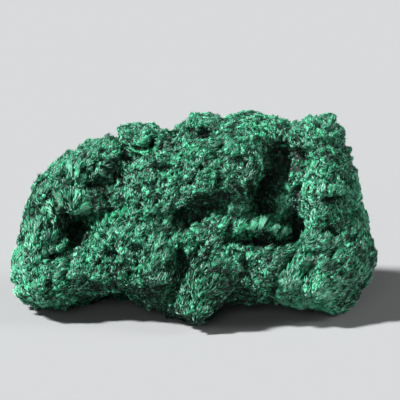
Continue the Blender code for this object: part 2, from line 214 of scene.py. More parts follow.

# Which way the needles lie on the face: across, up, reach (mm), lie in degrees from the across
# direction, order (0 is a felt that stands up, 1 is combed flat), needle length (mm) before the
# tufts shorten it, tone, and how much of the felt there is dusty grey green. The tone is partly
# the stone's own and in many places painted light and shade: painted shadow in the black core of
# the hollow, the black end of the pocket, the shaded lower bulge and lower middle and the lower
# left rim where the light grazes it, and painted light on the pale foot, the lower right foot and
# the pocket's felt.
LIES = {
    "left rim, upper": (-38.0, 11.5, 8.0, 62.0, 0.75, 2.3, 0.08, 0.35),
    "left rim, lower": (-44.5, 0.5, 7.0, 95.0, 0.85, 2.4, -0.40, 0.45),
    "left of the hollow": (-41.0, -2.5, 5.0, 84.0, 0.90, 2.8, 0.04, 0.35),
    "hollow, black core": (-33.2, -3.8, 2.6, 80.0, 0.60, 1.4, -0.90, 0.30),
    "left foot": (-43.0, -15.0, 8.0, 62.0, 0.70, 2.0, 0.26, 0.45),
    "left foot, pale": (-44.6, -14.5, 2.6, 60.0, 0.70, 1.8, 0.30, 0.30),
    "under the hollow": (-30.0, -14.0, 7.0, 46.0, 0.80, 2.1, 0.06, 0.35),
    "lower band": (-25.0, -21.0, 8.0, 48.0, 0.65, 2.0, -0.06, 0.50),
    "lower band, right": (-14.0, -18.8, 3.4, 52.0, 0.70, 2.0, -0.36, 0.50),
    "waist": (-22.0, 9.0, 6.0, 70.0, 0.45, 1.6, 0.04, 0.70),
    "above the hollow, right": (-28.4, 6.2, 4.2, 60.0, 0.50, 1.6, -0.70, 0.50),
    "upper left shoulder": (-27.5, 17.5, 6.0, 55.0, 0.70, 2.2, 0.06, 0.50),
    "shoulder, foot": (-30.0, 9.2, 2.6, 60.0, 0.60, 1.8, 0.40, 0.40),
    "knob": (-15.4, 20.6, 5.0, 80.0, 0.10, 1.2, 0.06, 0.15),
    "under the knob": (-17.0, 12.5, 5.5, 60.0, 0.45, 1.6, -0.34, 0.45),
    "slope over the waist": (-16.0, 1.5, 7.0, 66.0, 0.60, 1.9, 0.22, 0.10),
    "slope, foot": (-19.0, -5.0, 7.0, 58.0, 0.75, 2.1, 0.06, 0.30),
    "lower bulge, shade": (-21.0, -9.2, 3.0, 56.0, 0.70, 1.9, -0.40, 0.50),
    "boulder, crown": (0.0, 17.0, 9.0, 38.0, 0.60, 1.9, 0.14, 0.35),
    "boulder, middle": (1.0, 9.0, 9.0, 48.0, 0.55, 1.8, 0.02, 0.65),
    "boulder, right": (14.0, 12.0, 7.0, 58.0, 0.50, 1.7, -0.04, 0.45),
    "boulder, bright patch": (18.6, 22.2, 2.2, 40.0, 0.50, 1.6, 0.50, -0.30),
    "top lobes": (14.0, 25.5, 7.0, 70.0, 0.15, 1.3, 0.04, 0.15),
    "recess": (2.0, -0.5, 6.0, 60.0, 0.40, 1.4, 0.04, 0.30),
    "recess, left end": (-10.4, 0.6, 2.4, 60.0, 0.60, 1.8, 0.40, 0.30),
    "ledge": (0.0, -7.0, 8.0, 58.0, 0.80, 2.2, 0.04, 0.25),
    "bulges": (-11.0, -12.0, 7.0, 61.0, 0.85, 2.3, 0.04, 0.65),
    "nose": (3.5, -19.0, 7.0, 63.0, 0.90, 2.4, -0.48, 0.40),
    "nose, left side": (-4.4, -26.0, 3.2, 66.0, 0.80, 1.8, -0.50, 0.30),
    "nose, upper left": (-1.2, -15.5, 3.2, 66.0, 0.80, 2.0, -0.45, 0.30),
    "nose valley": (-3.0, -20.0, 5.0, 70.0, 0.60, 1.8, 0.02, 0.30),
    "pocket": (24.8, 6.0, 7.5, 62.0, 0.20, 1.3, 0.10, 0.50),
    "pocket, felt": (25.0, 1.6, 4.6, 60.0, 0.25, 1.4, 0.80, 0.55),
    "pocket, black end": (18.0, 5.5, 3.0, 62.0, 0.20, 1.3, -0.90, 0.50),
    "pocket, upper end": (23.6, 14.0, 3.4, 62.0, 0.20, 1.3, -0.50, 0.60),
    "pocket, right wall": (28.0, 3.4, 2.4, 64.0, 0.40, 1.4, -0.40, 0.30),
    "ridge flank": (32.6, 9.5, 4.8, 64.0, 0.75, 2.1, 0.32, 0.25),
    "flank, upper left edge": (28.4, 14.5, 3.4, 64.0, 0.30, 1.3, -0.16, 0.05),
    "ridge top": (33.5, 21.5, 6.5, 60.0, 0.25, 1.4, 0.02, 0.60),
    "ridge crest": (37.0, 12.0, 5.0, 50.0, 0.35, 1.5, 0.00, 0.40),
    "behind the crest": (41.0, 17.0, 5.0, -62.0, 0.60, 1.5, 0.04, 0.30),
    # the right edge's high tone is a painted rim light
    "right edge": (46.5, 2.0, 6.0, 108.0, 0.95, 1.5, 0.70, 0.40),
    "right pits": (40.0, -1.0, 5.0, 55.0, 0.40, 1.5, 0.10, 0.40),
    "lower right": (30.0, -12.0, 10.0, 50.0, 0.85, 2.3, 0.06, 0.45),
    "lower right end": (43.0, -15.0, 7.0, 48.0, 0.75, 2.0, -0.14, 0.50),
    "lower right foot": (32.0, -22.0, 5.5, 72.0, 0.80, 2.4, 0.95, 0.50),
    "shelf": (17.0, -3.2, 5.5, 64.0, 0.85, 2.6, 0.10, 0.40),
    "shelf, right end": (24.5, -3.6, 3.5, 56.0, 0.70, 1.8, 0.20, 0.50),
    "lower middle": (14.0, -14.0, 6.0, 72.0, 0.40, 1.6, 0.02, 0.45),
    "lower middle, shade": (19.6, -15.0, 2.6, 64.0, 0.60, 1.8, -0.30, 0.45),
}
BACK_LIES = {
    "back, left": (-32.0, 4.0, 12.0, 75.0, 0.70, 2.1, 0.0, 0.40),
    "back, hump": (-12.0, 6.0, 12.0, 50.0, 0.60, 1.9, 0.04, 0.50),
    "back, cleft": (6.0, 2.0, 8.0, 68.0, 0.30, 1.5, -0.06, 0.30),
    "back, shoulder": (24.0, 8.0, 12.0, 40.0, 0.65, 2.0, 0.04, 0.55),
    "back, right": (40.0, -4.0, 10.0, 95.0, 0.75, 2.2, 0.0, 0.40),
    "back, step": (-26.0, -14.0, 10.0, 110.0, 0.60, 1.9, -0.04, 0.35),
    "back, foot": (14.0, -16.0, 12.0, 80.0, 0.70, 2.1, -0.02, 0.50),
}

# Needles that burst from one point: across, up, reach (mm), needle length (mm), sector in degrees
SPRAY_ORDER = 0.95
SPRAYS = {
    "left hollow": (-34.2, 0.6, 6.0, 2.6, -180.0, 180.0),
    "lower right tuft": (30.0, -26.0, 6.0, 2.4, 30.0, 120.0),
}

# Sheaves of long needles that lie together like a leaf: across, up of the root, length, width (mm),
# direction, lift off the stone (degrees), tone, how much is grey
SHEAVES = {
    "hollow, big leaf": (-33.5, 0.8, 6.2, 1.2, 32.0, 16.0, 1.45, 0.30),
    "hollow, small leaf": (-32.6, 0.4, 4.6, 0.9, 18.0, 14.0, 1.30, 0.30),
    "hollow, upright leaf": (-33.5, 3.1, 4.8, 0.9, 76.0, 14.0, 1.10, 0.30),
    "hollow, upright leaf, left": (-36.4, 1.6, 5.6, 1.6, 106.0, 14.0, 0.46, 0.3),
    "hollow, broad leaf": (-35.2, 2.4, 5.2, 2.2, 88.0, 14.0, 0.44, 0.4),
    "hollow, low leaf": (-30.0, 0.3, 3.6, 1.0, -30.0, 16.0, 0.70, 0.2),
    "hollow, lowest leaf": (-31.0, -0.4, 3.8, 1.1, -49.0, 16.0, 0.60, 0.2),
    "hollow, left leaf": (-37.4, -0.5, 3.6, 1.2, 128.0, 16.0, 0.70, 0.4),
    "beside the hollow, strand": (-26.4, -3.6, 6.4, 0.6, 91.0, 12.0, 0.86, 0.1),
    "beside the hollow, strand, right": (-24.6, -3.0, 4.4, 0.6, 84.0, 8.0, 0.78, 0.1),
    "shoulder blade": (-32.5, 9.8, 4.9, 1.0, 88.0, 10.0, 0.95, 0.4),
    "shoulder blade, left": (-34.2, 10.5, 4.9, 1.1, 98.0, 10.0, 0.92, 0.6),
    "shoulder blade, right": (-29.6, 16.0, 3.6, 0.9, 58.0, 10.0, 0.85, 0.6),
    "rim blade": (-43.5, -3.9, 4.6, 0.9, 79.0, 8.0, 0.92, 0.6),
    "rim blade, upper": (-42.1, 0.7, 3.4, 0.9, 70.0, 8.0, 0.90, 0.4),
    "rim blade, low": (-44.6, -8.2, 3.6, 0.8, 88.0, 8.0, 0.85, 0.4),
    "rim blade, high": (-39.6, 5.2, 4.2, 0.9, 60.0, 8.0, 0.84, 0.3),
    "foot, white streak": (-44.2, -18.9, 2.0, 0.7, -48.0, 12.0, 1.00, 0.9),
    "foot, green streak": (-42.0, -18.0, 2.6, 0.9, 40.0, 10.0, 1.00, 0.0),
    "slope, streak": (-20.6, -1.0, 4.2, 0.9, 66.0, 8.0, 0.98, 0.1),
    "slope, streak, upper": (-19.0, 4.0, 3.8, 0.9, 70.0, 8.0, 0.98, 0.2),
    "slope, streak, lower": (-24.0, -5.6, 4.4, 0.9, 40.0, 8.0, 0.90, 0.2),
    "bulge, streak": (-12.4, -12.0, 4.2, 0.9, 62.0, 8.0, 0.88, 0.4),
    "bulge, streak, right": (-8.2, -10.6, 4.2, 0.9, 66.0, 8.0, 0.86, 0.5),
    "bulge, streak, low": (-15.0, -15.6, 3.6, 0.8, 60.0, 8.0, 0.86, 0.3),
    "nose, streak": (0.6, -20.4, 4.6, 0.8, 62.0, 8.0, 0.84, 0.3),
    "nose, streak, right": (4.0, -19.6, 4.6, 0.8, 66.0, 8.0, 0.84, 0.3),
    "nose, tip": (-1.6, -26.6, 2.2, 1.2, 50.0, 10.0, 0.92, 0.2),
    "boulder, curl": (4.6, 8.6, 3.0, 0.7, 72.0, 12.0, 0.98, 0.3),
    "boulder, crown streak": (-1.6, 16.4, 3.6, 0.9, 40.0, 8.0, 0.92, 0.4),
    "boulder, crown streak, right": (4.4, 18.4, 3.4, 0.9, 34.0, 8.0, 0.90, 0.4),
    "shelf, pale leaf": (17.2, -5.4, 5.8, 1.5, 74.0, 14.0, 1.05, 0.6),
    "shelf, leaf": (14.6, -6.2, 5.4, 1.3, 68.0, 12.0, 0.90, 0.3),
    "shelf, left leaf": (11.4, -6.6, 5.6, 1.8, 60.0, 12.0, 0.86, 0.2),
    "shelf, right leaf": (20.2, -6.4, 5.0, 1.3, 60.0, 12.0, 0.90, 0.6),
    "shelf, end leaf": (23.2, -6.6, 4.4, 1.2, 56.0, 12.0, 0.84, 0.6),
    "flank, streak": (29.8, 5.4, 5.0, 1.3, 74.0, 8.0, 1.00, 0.3),
    "flank, streak, high": (31.2, 10.4, 5.0, 1.3, 66.0, 8.0, 1.00, 0.3),
    "flank, streak, low": (29.4, 1.0, 4.0, 1.0, 80.0, 8.0, 0.95, 0.1),
    "flank, streak, right": (33.4, 7.0, 4.4, 1.0, 72.0, 8.0, 0.90, 0.5),
    "lower right, long blade": (21.6, -18.6, 4.8, 1.2, 52.0, 12.0, 0.90, 0.4),
    "lower right, tuft blade": (22.4, -21.2, 4.2, 1.3, 56.0, 14.0, 0.95, 0.3),
    "lower right, tuft blade, right": (25.0, -20.4, 4.4, 1.1, 54.0, 14.0, 0.92, 0.5),
    "lower right, streak": (28.6, -16.6, 4.4, 0.9, 50.0, 8.0, 0.90, 0.4),
    "lower right, streak, high": (30.0, -12.2, 4.2, 0.9, 52.0, 8.0, 0.84, 0.3),
    "lower right, streak, end": (37.6, -12.0, 4.2, 0.9, 48.0, 8.0, 0.84, 0.3),
    "lower right foot, burst": (30.4, -25.4, 3.6, 2.2, 84.0, 14.0, 1.00, 0.6),
    "lower right foot, burst, right": (35.0, -24.4, 3.0, 1.5, 72.0, 14.0, 1.00, 0.5),
    "lower middle, pale lump": (14.4, -12.2, 2.4, 1.8, 80.0, 14.0, 0.90, 0.3),
    "edge, streak": (46.6, -2.6, 5.0, 0.9, 112.0, 6.0, 0.84, 0.4),
    "edge, streak, high": (43.6, 8.0, 5.0, 0.9, 114.0, 6.0, 0.80, 0.4),
}
SHEAF_CROWD = 34.0         # needles to each square mm of a sheaf
SHEAF_RIDGES = 9.0         # radians of pale and dark ridges from its middle to its side
FELT_HEIGHT = 0.30         # mm of tufts that a sheaf lies on

# Thin broken edges, seen as pale lines: across and up of their corners
EDGES = {
    "plate under the knob": ((-18.2, 18.9), (-17.3, 17.8), (-15.4, 17.1), (-13.3, 17.3),
                             (-11.5, 18.1), (-10.5, 18.9), (-10.1, 20.2)),
    "boulder, curled lip": ((5.6, 8.4), (5.9, 9.6), (5.4, 11.0), (4.4, 12.0)),
    "boulder, right edge": ((15.0, 3.4), (16.6, 6.0), (17.4, 9.2), (18.4, 12.6)),
    "ridge crest": ((30.7, 26.0), (34.4, 22.9), (37.1, 18.7), (38.6, 16.0)),
    "curl above the pocket": ((23.7, 19.3), (25.1, 19.0), (26.3, 20.1), (26.5, 21.5)),
}
EDGE_CROWD = 26.0          # needles to each mm of an edge
EDGE_TONE = 0.84

# Where a needle lies on its map: how wide, and how far up the tips of its root face and its sides
MAP_HALF_WIDTH, MAP_ROOT, MAP_TIP = 0.006, 0.02, 0.985
TONE_LIMITS = (0.03, 0.97)     # keep a needle in its own half of the map, plain or grey


def face_places(points):
    """Across, up and forward of points in metres, in mm."""
    from_middle = points / MM - FACE_MIDDLE
    return from_middle @ RIGHT, from_middle @ UP_FACE, from_middle @ FORWARD


def unit(vectors):
    """The same vectors, one long."""
    return vectors / np.maximum(np.linalg.norm(vectors, axis=-1, keepdims=True), 1e-12)


def smoothstep(low, high, values):
    """0 at low and 1 at high, with soft ends."""
    t = np.clip((values - low) / (high - low), 0.0, 1.0)
    return t * t * (3.0 - 2.0 * t)


def habit(name, order):
    """One line of the tufts' habits, for this order."""
    felt, more = TUFT_HABIT[name]
    return felt + more * order


def sampled(points, size, octaves=1, shift=0.0):
    """Even noise, about -1 to 1, at points in metres: size is the width of a lump in mm. Each use
    has a shift of its own, so that no two are alike."""
    scaled = points / (size * MM) + shift
    return np.array([noise.fractal(p, 1.0, 2.1, octaves) for p in scaled.tolist()])


def skin_mesh():
    """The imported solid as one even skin, with its facets smoothed away."""
    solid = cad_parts[STONE]
    mesh = solid.data.copy()
    welded = bmesh.new()
    welded.from_mesh(mesh)
    bmesh.ops.remove_doubles(welded, verts=welded.verts, dist=0.002 * MM)
    welded.to_mesh(mesh)
    welded.free()
    piece = bpy.data.objects.new("malachite_body", mesh)
    bpy.context.scene.collection.objects.link(piece)
    even = piece.modifiers.new("even skin", "REMESH")
    even.mode = "VOXEL"
    even.voxel_size = SKIN_GRAIN
    soft = piece.modifiers.new("no facets", "SMOOTH")
    soft.factor = 0.5
    soft.iterations = SKIN_SMOOTHING
    ready = piece.evaluated_get(bpy.context.evaluated_depsgraph_get())
    result = bpy.data.meshes.new_from_object(ready)
    piece.modifiers.clear()
    piece.data = result
    return piece


def thinned(piece):
    """The piece's mesh in triangles, with fewer of them where the stone is smooth."""
    faces = sum(len(p.vertices) - 2 for p in piece.data.polygons)
    fewer = piece.modifiers.new("fewer", "DECIMATE")
    fewer.ratio = min(1.0, SKIN_FACES / faces)
    ready = piece.evaluated_get(bpy.context.evaluated_depsgraph_get())
    result = bpy.data.meshes.new_from_object(ready)
    piece.modifiers.clear()
    return result


def mesh_points(mesh):
    points = np.empty(len(mesh.vertices) * 3, np.float32)
    mesh.vertices.foreach_get("co", points)
    return points.reshape(-1, 3).astype(np.float64)


def mesh_normals(mesh):
    normals = np.empty(len(mesh.vertices) * 3, np.float32)
    mesh.vertex_normals.foreach_get("vector", normals)
    return normals.reshape(-1, 3).astype(np.float64)


def place(mesh, points):
    mesh.vertices.foreach_set("co", points.astype(np.float32).ravel())
    mesh.update()


def averaged(mesh, values, steps):
    """Values at the vertices, each evened out with its neighbours' as many times as steps says."""
    edges = np.empty(len(mesh.edges) * 2, np.int32)
    mesh.edges.foreach_get("vertices", edges)
    a, b = edges.reshape(-1, 2).T
    count = np.bincount(a, minlength=len(values)) + np.bincount(b, minlength=len(values))
    values = values.copy()
    for _ in range(steps):
        for column in range(values.shape[1]):
            held = values[:, column]
            total = np.bincount(a, held[b], len(held)) + np.bincount(b, held[a], len(held))
            values[:, column] = 0.5 * held + 0.5 * total / count
    return values


def near_tree(points):
    """A tree that finds the nearest of the points."""
    tree = kdtree.KDTree(len(points))
    for number, point in enumerate(points):
        tree.insert(point, number)
    tree.balance()
    return tree


def ray_tree(mesh):
    """A tree that finds where a ray meets the mesh."""
    corners = [v.co for v in mesh.vertices]
    return BVHTree.FromPolygons(corners, [tuple(p.vertices) for p in mesh.polygons])


def openness(mesh, points, normals):
    """How much of the sky over each point the stone itself leaves open, within a few mm."""
    tree = ray_tree(mesh)
    rng = np.random.default_rng(LIGHT_SEED)
    ways = unit(rng.normal(0.0, 1.0, (OPEN_RAYS, 3)))
    clear = np.zeros(len(points))
    for way in ways:
        # never down into the stone, and from half a mm out
        out = unit(0.9 * way + normals)
        starts = points + out * 0.5 * MM
        for number, (start, aim) in enumerate(zip(starts.tolist(), out.tolist())):
            clear[number] += tree.ray_cast(start, aim, OPEN_REACH)[0] is None
    return clear / OPEN_RAYS


def small_forms(points, normals):
    """Rise in mm of the small pits and bosses on the face."""
    across, up, _ = face_places(points)
    faces_front = smoothstep(-0.1, 0.35, normals @ FORWARD)
    rise = np.zeros(len(points))
    for x, y, length, width, turn, height in SMALL_FORMS.values():
        c, s = math.cos(math.radians(turn)), math.sin(math.radians(turn))
        along = (across - x) * c + (up - y) * s
        aside = (up - y) * c - (across - x) * s
        rise += height * np.exp(-((along / length) ** 2 + (aside / width) ** 2) ** 1.2)
    return rise * faces_front


def broken(points):
    """Rise in mm of the knobbly lumps: round tops with sharp creases between them."""
    rise = np.zeros(len(points))
    for number, (size, height) in enumerate(LUMPS):
        round_top = -np.abs(sampled(points, size, 3, 3.1 + 7.7 * number))
        rise += height * (round_top - round_top.mean()) / round_top.std()
    return rise


def pitted(mesh, points, normals):
    """Rise in mm of the many small pits that are scattered over the stone."""
    centres, _ = spots_on(mesh, PIT_GRID, PIT_SEED, normals)
    rng = np.random.default_rng(PIT_SIZE_SEED)
    centres = centres[rng.random(len(centres)) < PIT_SHARE]
    radius = rng.uniform(*PIT_RADIUS, len(centres))
    depth = radius * rng.uniform(*PIT_DEPTH, len(centres))
    tree = near_tree(centres)
    found = [tree.find(p) for p in points.tolist()]
    nearest = np.array([f[1] for f in found])
    far = np.array([f[2] for f in found]) / MM
    on_face = centres @ FORWARD > (FACE_MIDDLE @ FORWARD + BACK_STARTS) * MM
    depth *= np.where(on_face, PIT_ON_FACE, 1.0)
    return -depth[nearest] * np.exp(-((far / radius[nearest]) ** 2) ** 1.3)


def crags(mesh, points, normals):
    """Rise in mm of the crags, and a number for each point that is shared by its whole crag."""
    centre, facing = spots_on(mesh, CRAG_GRID, CRAG_SEED, normals)
    flow, order = lie_of(centre, facing)[:2]
    owner, edge_near = clump_of(points, centre, flow, 0.7 * order, CRAG_GRID)
    rng = np.random.default_rng(CRAG_TILT_SEED)
    offset = (points - centre[owner]) / MM
    side = np.cross(facing, flow)
    along = CRAG_TILT * rng.normal(0.0, 1.0, len(centre))
    aside = CRAG_TILT * rng.normal(0.0, 1.0, len(centre))
    rise = CRAG_RISE * rng.normal(0.0, 1.0, len(centre))[owner]
    rise += along[owner] * np.sum(offset * flow[owner], axis=1)
    rise += aside[owner] * np.sum(offset * side[owner], axis=1)
    rise = np.clip(rise, *CRAG_LIMITS) - CRAG_CREASE * edge_near ** 3
    return rise, rng.normal(0.0, 1.0, len(centre))[owner]


def lie_of(points, normals):
    """For each point: the way the needles lie along the stone, order, length in mm, tone and
    how much is grey."""
    across, up, forward = face_places(points)
    back = smoothstep(BACK_STARTS, BACK_WHOLE, forward)
    back *= smoothstep(0.25, -0.25, normals @ FORWARD)
    weight = np.full(len(points), PLAIN_WEIGHT)
    turn = PLAIN_LIE[0]
    flow = np.outer(weight, math.cos(turn) * RIGHT + math.sin(turn) * UP_FACE)
    order, length, tone, grey = (plain * weight for plain in PLAIN_LIE[1:])
    for side, lies in ((1.0 - back, LIES), (back, BACK_LIES)):
        for x, y, reach, lie, combed, long, shade, dusty in lies.values():
            near = side * np.exp(-((across - x) ** 2 + (up - y) ** 2) / reach ** 2)
            turn = math.radians(lie)
            flow += np.outer(near, math.cos(turn) * RIGHT + math.sin(turn) * UP_FACE)
            order += near * combed
            length += near * long
            tone += near * shade
            grey += near * dusty
            weight += near
    order, length, tone, grey = order / weight, length / weight, tone / weight, grey / weight
    flow = unit(flow)
    swirl = np.radians(SWIRL) * sampled(points, 9.0, 2, 21.0) / 0.5
    sideways = np.cross(normals, flow)
    flow = flow * np.cos(swirl)[:, None] + sideways * np.sin(swirl)[:, None]
    for x, y, reach, long, low, high in SPRAYS.values():
        aim_x, aim_y = across - x, up - y
        angle = np.degrees(np.arctan2(aim_y, aim_x))
        inside = (angle >= low) & (angle <= high)
        far = np.hypot(aim_x, aim_y)
        near = np.exp(-(far / reach) ** 4) * inside * (1.0 - back)
        out = unit(np.outer(aim_x, RIGHT) + np.outer(aim_y, UP_FACE))
        flow = unit(flow * (1.0 - near)[:, None] + out * near[:, None])
        order = order * (1.0 - near) + SPRAY_ORDER * near
        length = length * (1.0 - near) + long * near
    flow = unit(flow - normals * np.sum(flow * normals, axis=1)[:, None])
    return flow, order, length, tone, grey


def spots_on(mesh, spacing, seed, normals):
    """About one spot to each cell of a grid that the skin crosses, and the way it faces."""
    rng = np.random.default_rng(seed)
    mesh.calc_loop_triangles()
    corners = np.empty(len(mesh.loop_triangles) * 3, np.int32)
    mesh.loop_triangles.foreach_get("vertices", corners)
    corners = corners.reshape(-1, 3)
    points = mesh_points(mesh)
    a, b, c = (points[corners[:, k]] for k in range(3))
    area = np.linalg.norm(np.cross(b - a, c - a), axis=1)
    picked = rng.choice(len(corners), SPOT_TRIES, p=area / area.sum())
    u, v = rng.random(len(picked)), rng.random(len(picked))
    over = u + v > 1.0
    u[over], v[over] = 1.0 - u[over], 1.0 - v[over]
    spots = a[picked] + u[:, None] * (b - a)[picked] + v[:, None] * (c - a)[picked]
    facing = unit(normals[corners[picked]].mean(axis=1))
    cells = np.floor(spots / (spacing * MM)).astype(np.int64)
    keys = (cells[:, 0] * CELLS + cells[:, 1]) * CELLS + cells[:, 2]
    first = np.sort(np.unique(keys, return_index=True)[1])
    return spots[first], facing[first]


def clump_of(points, centres, flow, order, grid):
    """For each point: the clump it belongs to, and how near its edge it is (0 middle, 1 edge).
    Where the order is high, clumps are long along the lie and narrow across it."""
    tree = near_tree(centres)
    near = np.array([[n for _, n, _ in tree.find_n(p, 8)] for p in points.tolist()])
    best = np.full(len(points), 99.0)
    owner = near[:, 0].copy()
    for k in range(near.shape[1]):
        pick = near[:, k]
        offset = (points - centres[pick]) / MM
        along = np.sum(offset * flow[pick], axis=1)
        aside = np.linalg.norm(offset - along[:, None] * flow[pick], axis=1)
        long = grid * habit("clump along", order[pick])
        wide = grid * habit("clump aside", order[pick])
        distance = (along / long) ** 2 + (aside / wide) ** 2
        closer = distance < best
        best[closer] = distance[closer]
        owner[closer] = pick[closer]
    return owner, np.sqrt(np.clip(best, 0.0, 2.0))


def spikes(roots, axis, size, radius, sunk):
    """Four corners of each needle: three round its root, sunk into the stone, and its tip. Size,
    radius and sunk are in mm."""
    across = unit(np.cross(axis, FORWARD) + 1e-6)
    other = np.cross(axis, across)
    roll = RNG.uniform(0.0, 2.0 * math.pi, len(roots))
    base = roots - axis * (sunk * MM)
    corners = np.empty((len(roots), 4, 3))
    for k in range(3):
        turn = roll + k * 2.0 * math.pi / 3.0
        ring = across * np.cos(turn)[:, None] + other * np.sin(turn)[:, None]
        corners[:, k] = base + ring * (radius * MM)[:, None]
    corners[:, 3] = roots + axis * (size * MM)[:, None]
    return corners


def tuft_needles(mesh, tree, facing_at, clump, growth, total):
    """The needles that cover the whole stone in small tufts: corners and colour number."""
    centres, facing = spots_on(mesh, TUFT_GRID, TUFT_SEED, facing_at)
    owner, edge_near = clump_of(centres, clump, growth["flow"], growth["order"], CLUMP_GRID)
    tufts = len(centres)
    # fewer needles on the underside and on the back
    share = np.where(facing[:, 2] < -0.6, 0.5, 1.0)
    share *= np.where(facing @ FORWARD > 0.0, 1.15, 0.85)
    each = RNG.poisson(total / tufts * share / share.mean())
    tuft = np.repeat(np.arange(tufts), each)[:total]
    count = len(tuft)
    flow = growth["flow"][owner]
    flow = unit(flow - facing * np.sum(flow * facing, axis=1)[:, None])
    side = np.cross(facing, flow)
    order, length, cavity = (growth[name][owner] for name in ("order", "length", "cavity"))
    length = length * (1.0 - 0.25 * growth["pit"][owner])
    spread = np.clip(RNG.normal(0.0, 1.0, (count, 2)), -1.9, 1.9)
    long = TUFT_GRID * habit("along", order)[tuft]
    wide = TUFT_GRID * habit("aside", order)[tuft]
    roots = centres[tuft] + MM * (
        (spread[:, 0] * long)[:, None] * flow[tuft]
        + (spread[:, 1] * wide)[:, None] * side[tuft]
    )
    found = [tree.find_nearest(p) for p in roots.tolist()]
    roots = np.array([f[0][:] for f in found])
    ground = np.array([f[1][:] for f in found])
    # needles of one tuft stand side by side, whatever the broken stone under them does
    lean = habit("lean", order) + RNG.normal(0.0, 1.0, tufts) * habit("lean scatter", order)
    lean = np.radians(lean)[tuft]
    veer = np.radians(RNG.normal(0.0, habit("veer scatter", order), tufts))[tuft]
    fan = np.radians(habit("fan", order))[tuft]
    lean = np.clip(lean + fan * RNG.normal(0.0, 0.5, count), *TUFT_LEAN_LIMITS)
    veer = veer + fan * (RNG.normal(0.0, 0.7, count) + 0.6 * spread[:, 1])
    heading = flow[tuft] * np.cos(veer)[:, None] + side[tuft] * np.sin(veer)[:, None]
    steady = habit("steady", order[tuft])
    stand = unit((1.0 - steady)[:, None] * ground + steady[:, None] * facing[tuft])
    heading = unit(heading - stand * np.sum(heading * stand, axis=1)[:, None])
    axis = stand * np.cos(lean)[:, None] + heading * np.sin(lean)[:, None]
    # shorter on the back and where the stone is hollow
    size = habit("size", order) * length * (1.0 + 0.2 * RNG.normal(0.0, 1.0, tufts))
    size *= 0.62 + 0.38 * smoothstep(-0.1, 0.5, facing @ FORWARD)
    size = np.clip(size * (1.0 - 0.35 * cavity), 0.3, 4.0)[tuft]
    height = RNG.uniform(0.6, 1.15, count)
    corners = spikes(roots, axis, size * height, RNG.uniform(*TUFT_RADIUS, count), TUFT_SUNK)
    # long needles and the middle of a clump catch more light
    tone = growth["shade"][owner] + TUFT_TONE * RNG.normal(0.0, 1.0, tufts)
    tone = (tone - 0.12 * (edge_near - 0.5))[tuft] + NEEDLE_TONE * RNG.normal(0.0, 1.0, count)
    tone += 0.6 * (height - 0.9)
    dusty = 0.5 * growth["grey"][owner][tuft] + 0.45 * RNG.normal(0.0, 1.0, count) > 0.30
    return corners, 0.5 * np.clip(tone, *TONE_LIMITS) + 0.5 * dusty


def face_points(across, up, forward):
    """Points in metres from places on the face in mm."""
    places = np.outer(across, RIGHT) + np.outer(up, UP_FACE) + np.outer(forward, FORWARD)
    return (places + FACE_MIDDLE) * MM


def on_stone(tree, across, up):
    """Where the stone's surface is, seen straight on to the face, which places hit it, and the way
    the surface faces there."""
    before = face_points(across, up, IN_FRONT + 0.0 * up)
    found = [tree.ray_cast(p, Vector(-FORWARD)) for p in before.tolist()]
    hit = np.array([f[0] is not None for f in found])
    points = np.array([f[0][:] if f[0] is not None else (0.0, 0.0, 0.0) for f in found])
    faces = np.array([f[1][:] if f[0] is not None else FORWARD for f in found])
    return points, hit, faces


def sheaf_needles(tree):
    """The long leaf-like sheaves and the thin broken edges: corners and colour number."""
    corners, tones = [], []
    for across, up, long, wide, lie, lift, tone, dusty in SHEAVES.values():
        count = int(SHEAF_CROWD * long * wide)
        along = RNG.uniform(-0.1, 0.6, count)
        aside = RNG.uniform(-1.0, 1.0, count)
        turn, rise = math.radians(lie), math.radians(lift)
        ahead = math.cos(turn) * RIGHT + math.sin(turn) * UP_FACE
        beside = math.cos(turn) * UP_FACE - math.sin(turn) * RIGHT
        half = 0.5 * wide * (0.45 + 0.8 * along)
        roots, hit, faces = on_stone(
            tree,
            across + long * along * math.cos(turn) - half * aside * math.sin(turn),
            up + long * along * math.sin(turn) + half * aside * math.cos(turn),
        )
        lifted = np.full(count, rise) + RNG.normal(0.0, 0.05, count)
        bend = 0.16 * aside + RNG.normal(0.0, 0.04, count)
        stand = unit(unit(faces.mean(axis=0)) + 0.3 * faces + 0.4 * FORWARD)
        roots = roots + FELT_HEIGHT * MM * stand
        lying = unit(ahead - stand * (stand @ ahead)[:, None])
        axis = np.cos(lifted)[:, None] * lying + np.sin(lifted)[:, None] * stand
        axis = unit(axis + np.outer(bend, beside))
        size = long * RNG.uniform(0.36, 0.50, count)
        radius = RNG.uniform(*SHEAF_RADIUS, count)
        corners.append(spikes(roots, axis, size, radius, SHEAF_SUNK)[hit])
        ridged = 0.16 * np.cos(SHEAF_RIDGES * aside + 1.0) + 0.18 * RNG.normal(0.0, 1.0, count)
        shade = np.clip(tone - 0.10 - 0.12 * np.abs(aside) + ridged, *TONE_LIMITS)
        grey = RNG.random(count) < dusty
        tones.append((0.5 * shade + 0.5 * grey)[hit])
    for line in EDGES.values():
        line = np.array(line)
        for start, end in zip(line[:-1], line[1:]):
            count = int(EDGE_CROWD * np.linalg.norm(end - start))
            along = RNG.random(count)[:, None]
            place_on = start + (end - start) * along + RNG.normal(0.0, 0.12, (count, 2))
            roots, hit, _ = on_stone(tree, place_on[:, 0], place_on[:, 1])
            axis = unit(0.8 * FORWARD + 0.5 * UP_FACE + RNG.normal(0.0, 0.12, (count, 3)))
            size = RNG.uniform(0.6, 1.0, count)
            radius = RNG.uniform(*EDGE_RADIUS, count)
            corners.append(spikes(roots, axis, size, radius, EDGE_SUNK)[hit])
            shade = np.clip(EDGE_TONE + RNG.normal(0.0, 0.14, count), 0.0, TONE_LIMITS[1])
            tones.append((0.5 * shade)[hit])
    return np.concatenate(corners), np.concatenate(tones)


